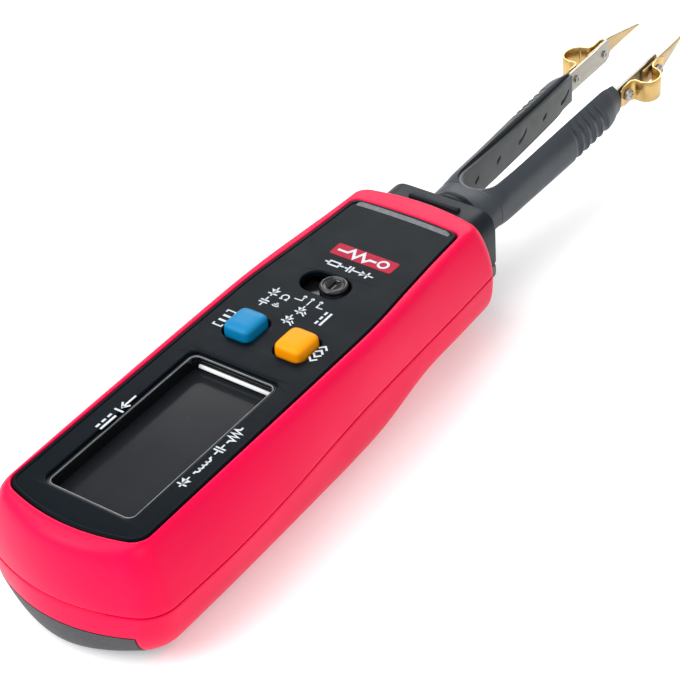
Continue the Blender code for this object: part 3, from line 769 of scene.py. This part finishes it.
def panel():
    window = window_outline(16.8, 35.6, 1.7)
    openings = [rounded(x, KEY_Y, KEY_SIZE[0] + 0.7, KEY_SIZE[1] + 0.7, 1.65) for x in KEY_X]
    slot = rounded(KNOB_XY[0] - KNOB_TRAVEL / 2, KNOB_XY[1], KNOB_TRAVEL + 5.4, 5.4, 2.65, 12)
    border = [panel_outline(0.12), panel_outline(0.62)]
    bezel = [window_outline(18.2, 37.0, 2.0), window_outline(15.6, 34.4, 1.2)]
    well = [window_outline(16.6, 35.4, 1.4), window_outline(15.8, 34.6, 1.2)]
    # A thin light grey ring at the lens's edge, coloured as a painted highlight of that edge.
    highlight_ring = [window_outline(15.9, 34.7, 1.3), window_outline(15.62, 34.42, 1.2)]
    for name, loops, low, high, edge, material in (
        ("panel_plate", [panel_outline(0), window, *openings, slot], -0.7, PANEL_TOP, 0.32, BLACK),
        ("panel_border", border, PANEL_TOP - 0.1, PANEL_TOP + 0.13, 0.1, BLACK),
        ("window_bezel", bezel, -0.95, 0.0, 0.28, GLOSS),
        ("window_well", well, -2.6, -0.9, 0.05, GLOSS),
        ("window_bead_highlight", highlight_ring, -0.25, 0.03, 0.05, BEAD_HIGHLIGHT),
    ):
        plate(name, loops, low, high, edge, material, "case", ["face_panel"])


def window_ledge():
    """A narrow ledge along the far wall of the window, where the lens is seated, coloured pale as a painted
    highlight strip.
    """
    section = ((34.55, -1.55), (34.15, -1.65), (34.05, -2.0), (34.12, -2.1), (34.55, -2.15))
    points, faces = loft([[(x, y, z) for y, z in section] for x in (-7.0, 7.0)])
    round_edges(piece("window_ledge", points, faces, LEDGE_HIGHLIGHT, "case", ["face_panel"]), 0.05)


def panel_lip():
    """The turned-up strip at the panel's far end, in a lighter grey that is a painted highlight on its slope.
    """
    rings = []
    steps = 24
    for k in range(steps + 1):
        x = LIP_HALF * (2 * k / steps - 1)
        fade = min(1.0, (LIP_HALF - abs(x)) / 0.6 + 0.15)
        y = 79.95 + 0.3 * (1 - (x / LIP_HALF) ** 2)
        section = (
            (y, PANEL_TOP - 0.05),
            (y + 0.10, PANEL_TOP + 0.10 * fade),
            (y + 0.62, PANEL_TOP + 0.40 * fade),
            (y + 0.80, PANEL_TOP + 0.36 * fade),
            (y + 0.95, PANEL_TOP - 0.05),
        )
        rings.append([(x, b, c) for b, c in section])
    points, faces = loft(rings)
    piece("panel_lip", points, faces, LIP_HIGHLIGHT, "case", ["face_panel"])


def squircle(x, y, half_x, half_y, z):
    """A ring between an ellipse and a rectangle."""
    sides, power = 40, 2 / 5.2
    ring = []
    for k in range(sides):
        turn = 2 * math.pi * (k + 0.5) / sides
        c, s = math.cos(turn), math.sin(turn)
        across = half_x * math.copysign(abs(c) ** power, c)
        along = half_y * math.copysign(abs(s) ** power, s)
        ring.append((x + across, y + along, z))
    return ring


def keys():
    half_x, half_y = KEY_SIZE[0] / 2, KEY_SIZE[1] / 2
    profile = (
        (0.0, -2.2), (0.0, -2.0), (0.0, 0.6), (0.04, 1.45), (0.14, 1.72),
        (0.34, 1.93), (0.62, 2.06), (0.9, 2.12), (1.5, KEY_TOP), (2.35, KEY_TOP),
    )
    for name, x, material in (("hold", KEY_X[0], BLUE), ("select", KEY_X[1], AMBER)):
        body, node = name + "_key", name + "_button"
        rings = [squircle(x, KEY_Y, half_x - inset, half_y - inset, z) for inset, z in profile]
        points, faces = loft(rings)
        subdivide(piece(name + "_cap", points, faces, material, body, [node], 60), 1)
        flange = rounded(x, KEY_Y, KEY_SIZE[0] + 1.0, KEY_SIZE[1] + 1.0, 1.6)
        plate(name + "_flange", [flange], -2.95, -1.85, 0.1, material, body, [node])


def knob():
    r = KNOB_R
    profile = (
        (0.01, 0.98), (1.55, 0.98), (1.72, 1.02), (1.80, 1.14), (1.95, 1.19), (r - 0.22, 1.16),
        (r - 0.05, 1.02), (r, 0.8), (r, 0.45), (r - 0.1, 0.38), (r, 0.31), (r, -1.3), (0.01, -1.3),
    )
    cap = turned("knob_cap", "z", KNOB_XY, profile, 64, KNOB, "mode_slider", ["mode_knob"])
    cut(cap, plate("knob_mark", [rounded(*KNOB_XY, 0.95, 2.5, 0.2, 4)], 0.55, 2.0, 0.02, BLACK))


# ---- printing on the panel ----


class Print:
    """Thin raised ink built from strokes and filled shapes on the panel's face."""

    def __init__(self, top):
        self.low, self.high = top - 0.02, top + 0.018
        self.points, self.faces = [], []

    def fill(self, loop):
        start, count = len(self.points), len(loop)
        self.points += [(x, y, self.low) for x, y in loop] + [(x, y, self.high) for x, y in loop]
        self.faces.append(tuple(range(start, start + count)))
        self.faces.append(tuple(range(start + count, start + 2 * count)))
        for i in range(count):
            j = (i + 1) % count
            self.faces.append((start + i, start + j, start + count + j, start + count + i))

    def dot(self, x, y, radius):
        self.fill(arc(x, y, radius, 0, 360, 16)[:-1])

    def line(self, path, width=0.28):
        """A ribbon of even width along the path, mitred at its bends."""
        half = width / 2
        ways = [math.atan2(b[1] - a[1], b[0] - a[0]) for a, b in zip(path, path[1:])]
        left, right = [], []
        for (x, y), into, out in zip(path, ways[:1] + ways, ways + ways[-1:]):
            bend = (out - into + math.pi) % (2 * math.pi) - math.pi
            way = into + bend / 2
            reach = half / max(0.45, math.cos(bend / 2))
            nx, ny = -math.sin(way) * reach, math.cos(way) * reach
            left.append((x + nx, y + ny))
            right.append((x - nx, y - ny))
        start, count = len(self.points), len(path)
        for side in (left, right):
            for z in (self.low, self.high):
                self.points += [(x, y, z) for x, y in side]
        low_l, high_l, low_r, high_r = (start + k * count for k in range(4))
        walls = ((high_l, high_r), (low_r, low_l), (low_l, high_l), (high_r, low_r))
        for i in range(count - 1):
            self.faces += [(a + i, b + i, b + i + 1, a + i + 1) for a, b in walls]
        for i in (0, count - 1):
            self.faces.append((low_l + i, high_l + i, high_r + i, low_r + i))

    def diode(self, x, y, size, rays=False):
        """Points toward -y: a filled triangle, a bar across its point, and a lead at each end."""
        self.fill([(x - size, y + 0.55 * size), (x + size, y + 0.55 * size), (x, y - 0.75 * size)])
        self.line([(x - size, y - 0.8 * size), (x + size, y - 0.8 * size)])
        self.line([(x, y + 1.35 * size), (x, y - 1.5 * size)], 0.26)
        if rays:
            for shift in (0.0, 0.6):
                start = (x + 0.95 * size, y - 0.2 * size - shift)
                self.line([start, (x + 1.65 * size, y - 0.75 * size - shift)], 0.24)

    def capacitor(self, x, y, size):
        for step in (-0.28, 0.28):
            self.line([(x - size, y + step), (x + size, y + step)])
        self.line([(x, y + 0.28), (x, y + 1.25)], 0.26)
        self.line([(x, y - 0.28), (x, y - 1.25)], 0.26)

    def bars(self, x, y, length):
        """Direct current: a solid bar beside a dashed one, running along y."""
        self.line([(x, y - length / 2), (x, y + length / 2)], 0.4)
        for k in range(3):
            middle = y + (k - 1) * length * 0.38
            self.line([(x - 0.85, middle - length * 0.12), (x - 0.85, middle + length * 0.12)], 0.4)

    def make(self, name, material):
        return piece(name, self.points, self.faces, material, "case", ["face_panel"], 30, weld=False)


def print_modes(ink):
    """Leaders beside the knob's slot, with the symbols of the three modes under them."""
    for path in (
        [(-1.3, 54.7), (-1.25, 53.6), (-2.6, 53.55)],
        [(0.16, 54.7), (0.13, 53.0)],
        [(1.8, 54.7), (1.8, 53.35), (2.9, 53.4)],
    ):
        ink.line(path, 0.22)
        ink.dot(*path[0], 0.32)
    ink.diode(-6.3, 53.4, 0.85)
    ink.capacitor(-6.35, 50.5, 0.8)
    for radius in (0.35, 0.75, 1.15):
        ink.line(arc(-4.1, 51.4, radius, -125, -55, 6), 0.2)
    bow = arc(-4.0, 53.0, 0.62, -125, -415, 14)
    ink.line([(-4.75, 52.35), (-4.3, 52.4), *bow, (-3.7, 52.4), (-3.25, 52.35)], 0.24)
    ink.diode(0.1, 51.6, 0.8, rays=True)
    ink.diode(-0.3, 48.7, 0.85, rays=True)
    ink.bars(4.9, 51.5, 3.4)


def print_keys(ink):
    """A pause sign in two brackets beside the hold key, and chevrons both ways beside the select key."""
    for y in (43.1, 44.3):
        ink.line([(-9.7, y), (-8.3, y)], 0.45)
    for y, step in ((41.7, 0.5), (45.7, -0.5)):
        ink.line([(-9.8, y + step), (-9.8, y), (-8.2, y), (-8.2, y + step)], 0.26)
    for y, step in ((41.9, 0.75), (43.0, 0.75), (45.9, -0.75), (44.8, -0.75)):
        ink.line([(8.15, y + step), (8.9, y), (9.65, y + step)], 0.34)


def print_window(ink):
    """Left of the window an arrow against a bar, and direct current. Right of it a row of four parts."""
    ink.line([(-8.75, 21.4), (-8.75, 18.2)], 0.34)
    ink.line([(-9.5, 19.2), (-8.75, 18.2), (-8.0, 19.2)], 0.34)
    ink.line([(-9.6, 17.4), (-7.9, 17.4)], 0.36)
    ink.bars(-8.35, 14.4, 3.6)
    x = 9.7
    zigzag = [(x + (0.75 if k % 2 else -0.75), 22.9 - 0.42 * k) for k in range(6)]
    ink.line([(x, 23.8), (x, 23.2)] + zigzag + [(x, 20.4), (x, 19.8)], 0.32)
    ink.capacitor(x, 18.1, 0.9)
    coil = [point for k in range(4) for point in arc(x, 15.35 - 0.85 * k, 0.42, 90, -90, 6)]
    ink.line([(x, 16.2)] + coil + [(x, 11.9)], 0.3)
    ink.diode(x, 9.9, 0.85)


def print_row(ink):
    """Under the badge a resistor, a capacitor and a diode in one row across the panel."""
    y = 64.4
    ink.line([(-4.3, y), (-3.5, y)], 0.3)
    ink.line([(-3.5, 63.9), (-1.6, 63.9), (-1.6, 64.9), (-3.5, 64.9), (-3.5, 63.85)], 0.32)
    ink.line([(-1.6, y), (-0.7, y)], 0.3)
    ink.line([(0.25, 63.6), (0.25, 65.2)], 0.34)
    ink.line([(0.85, 63.6), (0.85, 65.2)], 0.34)
    ink.line([(-0.5, y), (0.25, y)])
    ink.line([(0.85, y), (1.9, y)])
    ink.fill([(2.6, 63.7), (3.7, y), (2.6, 65.1)])
    ink.line([(3.9, 63.6), (3.9, 65.2)], 0.34)
    ink.line([(1.9, y), (5.0, y)], 0.26)


def badge():
    """A plain red field with a generic pulse line and a ring."""
    top = PANEL_TOP + 0.03
    field = [rounded(*BADGE_XY, 11.9, 3.1, 0.45, 4)]
    plate("badge_field", field, PANEL_TOP - 0.05, top, 0.005, RED_INK, "case", ["face_panel"])
    pulse = Print(top)
    peaks = [(-1.7, 69.1), (-0.7, 67.1), (0.2, 69.1), (1.2, 67.1)]
    pulse.line([(-4.3, 68.0), (-2.4, 68.0)] + peaks + [(1.9, 68.0), (3.2, 68.0)], 0.5)
    pulse.line(arc(4.5, BADGE_XY[1], 0.85, 0, 360, 20), 0.42)
    pulse.make("badge_pulse", WHITE_INK)


def printing():
    ink = Print(PANEL_TOP)
    for draw in (print_modes, print_keys, print_window, print_row):
        draw(ink)
    ink.make("panel_print", WHITE_INK)
    badge()


# ---- plug and tweezers ----


def housing(name, low, high, low_round, high_round, material, node):
    """One half of the plug's body, rounded at its sides, where its far face also curves back."""

    def drop(x, radius):
        over = max(0.0, abs(x) - PLUG_HALF + radius)
        return radius - math.sqrt(max(0.0, radius * radius - over * over))

    rings = []
    across = [PLUG_HALF, 10.46, 10.3, 10.05, 9.7, 9.2, 8.6, 7.9, 7.0, 5.0, 2.5]
    for x in [-v for v in across] + [0] + across[::-1]:
        front = 88.15 - 1.4 * (x / 12.6) ** 2
        rear = 92.8 - 0.5 * max(0.0, (abs(x) - 9.7) / 0.8) ** 2
        z0, z1 = low + drop(x, low_round), high - drop(x, high_round)
        profile = (
            (front, z0), (rear - 0.55, z0), (rear - 0.2, z0 + 0.06), (rear - 0.05, z0 + 0.2),
            (rear, z0 + 0.5), (rear, z1 - 0.6), (rear - 0.06, z1 - 0.28), (rear - 0.25, z1 - 0.08),
            (rear - 0.6, z1), (front, z1),
        )
        rings.append([(x, y, z) for y, z in profile])
    points, faces = loft(rings)
    piece(name, points, faces, material, "tweezer_head", [node], 50)


def plug_rib():
    """The raised bar across the top of the plug."""
    rings = []
    for x, inset in ((-5.0, 0.35), (-4.9, 0.1), (-4.6, 0.0), (4.6, 0.0), (4.9, 0.1), (5.0, 0.35)):
        y0, y1, top = 89.3 + inset * 0.5, 90.35 - inset * 0.5, -1.25 - inset
        section = (
            (y0, -2.6), (y1, -2.6), (y1, top - 0.15), (y1 - 0.18, top), (y0 + 0.18, top), (y0, top - 0.15),
        )
        rings.append([(x, y, z) for y, z in section])
    points, faces = loft(rings)
    piece("plug_rib", points, faces, PLUG, "tweezer_head", ["plug_housing_upper"], 50)


def plug():
    housing("plug_top", -11.9, -1.9, 0.15, 3.2, PLUG, "plug_housing_upper")
    plug_rib()
    housing("plug_base", -15.8, -12.1, 2.0, 0.15, BASE, "plug_housing_lower")
    profile = (
        (5.1, 92.7), (5.75, 92.75), (6.0, 92.95), (6.0, 93.7), (5.85, 93.85), (5.6, 93.9), (5.6, 94.25),
        (5.75, 94.35), (5.75, 95.1), (5.6, 95.25), (5.35, 95.3), (5.35, 95.6), (5.5, 95.75), (5.45, 96.3),
        (5.2, 96.45), (5.0, 96.5),
    )
    turned("collar_rings", "y", (0, FORK_Z), profile, 64, PLUG, "tweezer_head", ["neck_collar"])


def bend_at_root(obj):
    """Bakes a piece's placement into its mesh."""
    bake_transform(obj)


def inner_x(y):
    """How far from the middle the grip's inner face stands: none at the root, then round the fork's gap."""
    if y <= GAP_Y - GAP_R:
        return 0.0
    if y < GAP_Y:
        return math.sqrt(max(0.0, GAP_R * GAP_R - (GAP_Y - y) ** 2))
    return GAP_R + (y - GAP_Y) / ARM_RUN * GAP_SPREAD


def grip_stops():
    """Where the rings of a grip stand: closest at the line near its root and over the finger ridges."""
    stops = [96.4, 96.7, 97.0, 97.5, 98.2, 99.0, 99.8, 100.35, 100.4, 100.55, 100.7, 100.88, 100.95]
    stops += [101.05, 101.15, 101.3, 101.6, 102.0, 102.6, 103.2, 103.8, GAP_Y]
    stops += [105.5 + 1.4 * k for k in range(14)]
    stops += [124.5 + 0.15 * k for k in range(92)]
    return stops + [138.8, 139.6, 140.4, 141.2, 142.0, 142.35, GRIP_END]


def ridge_depth(y, s, facing):
    """How deep the grip is cut beside its five finger ridges, which lean and fan out as they go down."""
    along = 0.85 + (y + RIDGE_LEAN * s - RIDGE_Y) / (RIDGE_PITCH - RIDGE_FAN * s)
    if not 0 < along < 5:
        return 0.0
    step = along % 1.0
    rise = step / RIDGE_CREST if step < RIDGE_CREST else (1 - step) / (1 - RIDGE_CREST)
    return RIDGE_DEPTH * facing * rise


def grip(side, name):
    """One arm's soft outer half, from the plug's neck to the steel blade, as one piece."""
    rings = []
    sides = 26
    for y in grip_stops():
        outer, tall, middle = at(OUTER_HALF, y), at(OUTER_TALL, y), at(MIDDLE_Z, y)
        inner = inner_x(y)
        line = LINE_DEPTH * max(0.0, 1 - abs(y - LINE_Y) / LINE_HALF)
        end = 0.25 * max(0.0, (y - 142.0) / 0.5)
        ratio = min(0.999, inner / outer)
        limit = math.acos(ratio**1.25) if ratio > 0 else math.pi / 2
        ring = []
        for k in range(sides + 1):
            turn = -limit + 2 * limit * k / sides
            c, s = math.cos(turn), math.sin(turn)
            facing = min(1.0, 1.7 * max(0.0, math.cos(turn / limit * math.pi / 2)))
            draw = line + ridge_depth(y, s, facing) + end
            x = (outer - draw) * abs(c) ** 0.8
            z = middle + (tall - 0.6 * draw) * math.copysign(abs(s) ** 0.8, s)
            ring.append((side * max(inner, x), y, z))
        top, bottom = ring[-1][2], ring[0][2]
        ring += [(side * inner, y, top + (bottom - top) * k / 5) for k in range(1, 5)]
        rings.append(ring)
    points, faces = loft(rings)
    obj = piece(name + "_grip", points, faces, GRIP, None, [name + "_arm_shell", "fork_yoke"], 50)
    bend_at_root(obj)


def crescent(y, length):
    """A narrow rounded slot about y, bent into a crescent."""
    wide, corner = 0.9, 0.35
    ends = rounded(y, SLOT_Z, length, wide, corner, 4)
    run = [y + (length / 2 - corner) * (0.9 - 0.3 * k) for k in range(7)]
    top = [(a, SLOT_Z + wide / 2) for a in run]
    bottom = [(a, SLOT_Z - wide / 2) for a in reversed(run)]
    straight = ends[:10] + top + ends[10:] + bottom
    return [(a, b + 0.5 * (a - y) + 0.16 * (a - y) ** 2) for a, b in straight]


def plate_centre():
    """The inner plate's middle line in plan: a quarter round the gap's end, then out along the arm."""
    steps = 26
    centre = [(PLATE_R + PLATE_SPREAD * k / steps, GAP_Y + ARM_RUN * k / steps) for k in range(1, steps + 1)]
    return arc(0, GAP_Y, PLATE_R, -90, 0, 14) + centre


def inner_plate(side, name):
    """The lighter strip that lines the fork's gap and runs along the arm, with its row of recesses."""
    centre = plate_centre()
    normals = square_to(centre)
    normals[0] = (0.0, -1.0)
    half = 0.36
    rings = []
    for (x, y), (nx, ny) in zip(centre, normals):
        t = max(0.0, (y - GAP_Y) / ARM_RUN)
        high, low = -5.15 - 0.35 * t - 0.5 * math.sin(math.pi * t), -12.5 + 1.4 * t
        section = strip_section(-half, half, low, high, 0.12)
        rings.append([(side * max(0.0, x + nx * n), y + ny * n, z) for n, z in section])
    points, faces = loft(rings)
    obj = piece(name + "_inner_plate", points, faces, LINER, None, [name + "_arm_cover", "fork_liner"], 45)
    tools = []
    for index, (y, length) in enumerate(SLOTS):
        floor = 3.85 + PLATE_SPREAD * (y - GAP_Y) / ARM_RUN
        low, high = sorted((side * 1.0, side * floor))
        tools.append(plate(f"slot_{index}", [crescent(y, length)], low, high, 0.03, BLACK, axis="x"))
    cut(obj, *tools)
    bend_at_root(obj)


def spring_loop(side, name):
    bends = (
        (5.85, 143.2), (5.85, SCREW_A_Y), (5.87, 146.8), (6.5, 147.6), (7.7, 147.5), (8.9, 147.9),
        (9.7, 149.0), (9.8, 150.7), (9.2, 152.2), (8.1, 152.9), (7.0, 153.4), (6.5, 154.3),
        (6.45, 156.0), (6.45, 158.3),
    )
    path = smooth_path(bends)
    low, high, half = -10.25, -6.05, 0.16
    rings = []
    for index, ((x, y), (nx, ny)) in enumerate(zip(path, square_to(path))):
        # Both ends are narrowed over their last few points.
        end = 0.5 * max(0.0, 1 - min(index, len(path) - 1 - index) / 4)
        section = strip_section(-half, half, low + end, high - end, 0.05)
        rings.append([(side * (x + nx * n), y + ny * n, z) for n, z in section])
    points, faces = loft(rings)
    piece(name + "_spring_loop", points, faces, GOLD, name + "_arm", [name + "_loop"], 45)


def blade(side, name):
    shape = [
        (137, -6.3), (137.4, -6.0), (153.2, -6.0), (154.2, -5.75), (157.2, -5.75), (157.7, -6.2),
        (158.1, -8.9), (157.8, -9.6), (156.6, -10.2), (137.4, -10.2), (137, -9.9),
    ]
    low, high = sorted(side * face for face in BLADE_FACES)
    plate(name + "_blade_plate", [shape], low, high, 0.09, STEEL, name + "_arm", [name + "_blade"], axis="x")


def tip(side, name):
    """A gilt probe, given as stations of y, inner face, half height and middle height."""
    stations = (
        (151.5, 5.65, 1.7, SCREW_Z), (155.0, 5.65, 1.7, SCREW_Z), (157.6, 5.65, 1.7, SCREW_Z),
        (159.2, 5.6, 1.62, -8.07), (161.2, 5.4, 1.3, -8.05), (165.0, 4.95, 0.72, -8.02),
        (TIP_Y, 4.45, 0.14, -8.0),
    )
    thick = 0.4
    rings = []
    for y, x, half, middle in smooth_path(stations):
        section = strip_section(x, x + thick, middle - half, middle + half, min(0.08, half / 4))
        rings.append([(side * a, y, z) for a, z in section])
    points, faces = loft(rings)
    piece(name + "_probe_tip", points, faces, TIP_GOLD, name + "_arm", [name + "_tip"], 45)


def arm_screws(side, name):
    """The two screws of an arm: a cupped end that shows inside the blade, and a domed head outside."""
    for label, y, seat in (("root", SCREW_A_Y, 6.05), ("tip", SCREW_B_Y, 6.65)):
        profile = (
            (0.05, 4.9), (0.36, 4.9), (0.44, 4.45), (0.7, 4.45), (0.7, seat), (1.12, seat),
            (1.16, seat + 0.1), (1.14, seat + 0.4), (1.04, seat + 0.65), (0.8, seat + 0.85),
            (0.4, seat + 0.97), (0.05, seat + 1.0),
        )
        placed = [(radius, side * where) for radius, where in profile]
        node = f"{name}_{label}_screw"
        head = turned(node + "_head", "x", (y, SCREW_Z), placed, 32, SCREW, name + "_arm", [node])
        low, high = sorted((side * (seat + 0.55), side * (seat + 2)))
        cut(head, *cross_slot(y, SCREW_Z, 1.25, 0.3, 0.1, low, high, axis="x"))


# ---- finishes on the parts that stay as packed ----


def dress():
    finishes = (
        (LENS, ["lcd_lens"]),
        (LCD, ["lcd_glass"]),
        (WHITE, ["lcd_backlight"]),
        (BLACK, ["lcd_frame"]),
        (RUBBER, ["zebra_strip"]),
        (BOARD, ["main_board"]),
        (CHIP, ["meter_chip", "buzzer", "hold_plunger", "select_plunger", "battery_holder"]),
        (STEEL, ["slide_switch_body", "hold_switch", "select_switch"]),
        (KNOB, ["mode_lever"]),
        (CELL, ["coin_cell"]),
        (CONTACT, ["battery_contact_plus", "battery_contact_minus", "plug_pin_left", "plug_pin_right"]),
        (CONTACT, ["socket_contact_left", "socket_contact_right"]),
    )
    for material, names in finishes:
        for name in names:
            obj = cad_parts[name]
            if not obj.material_slots:
                obj.data.materials.append(material)
            for slot in obj.material_slots:
                slot.material = material


set_camera()
set_stage()
upper_case()
lower_case()
battery_cover()
case_screws()
panel()
window_ledge()
panel_lip()
keys()
knob()
printing()
plug()
for side, name in ((-1, "left"), (1, "right")):
    grip(side, name)
    inner_plate(side, name)
    spring_loop(side, name)
    blade(side, name)
    tip(side, name)
    arm_screws(side, name)
dress()
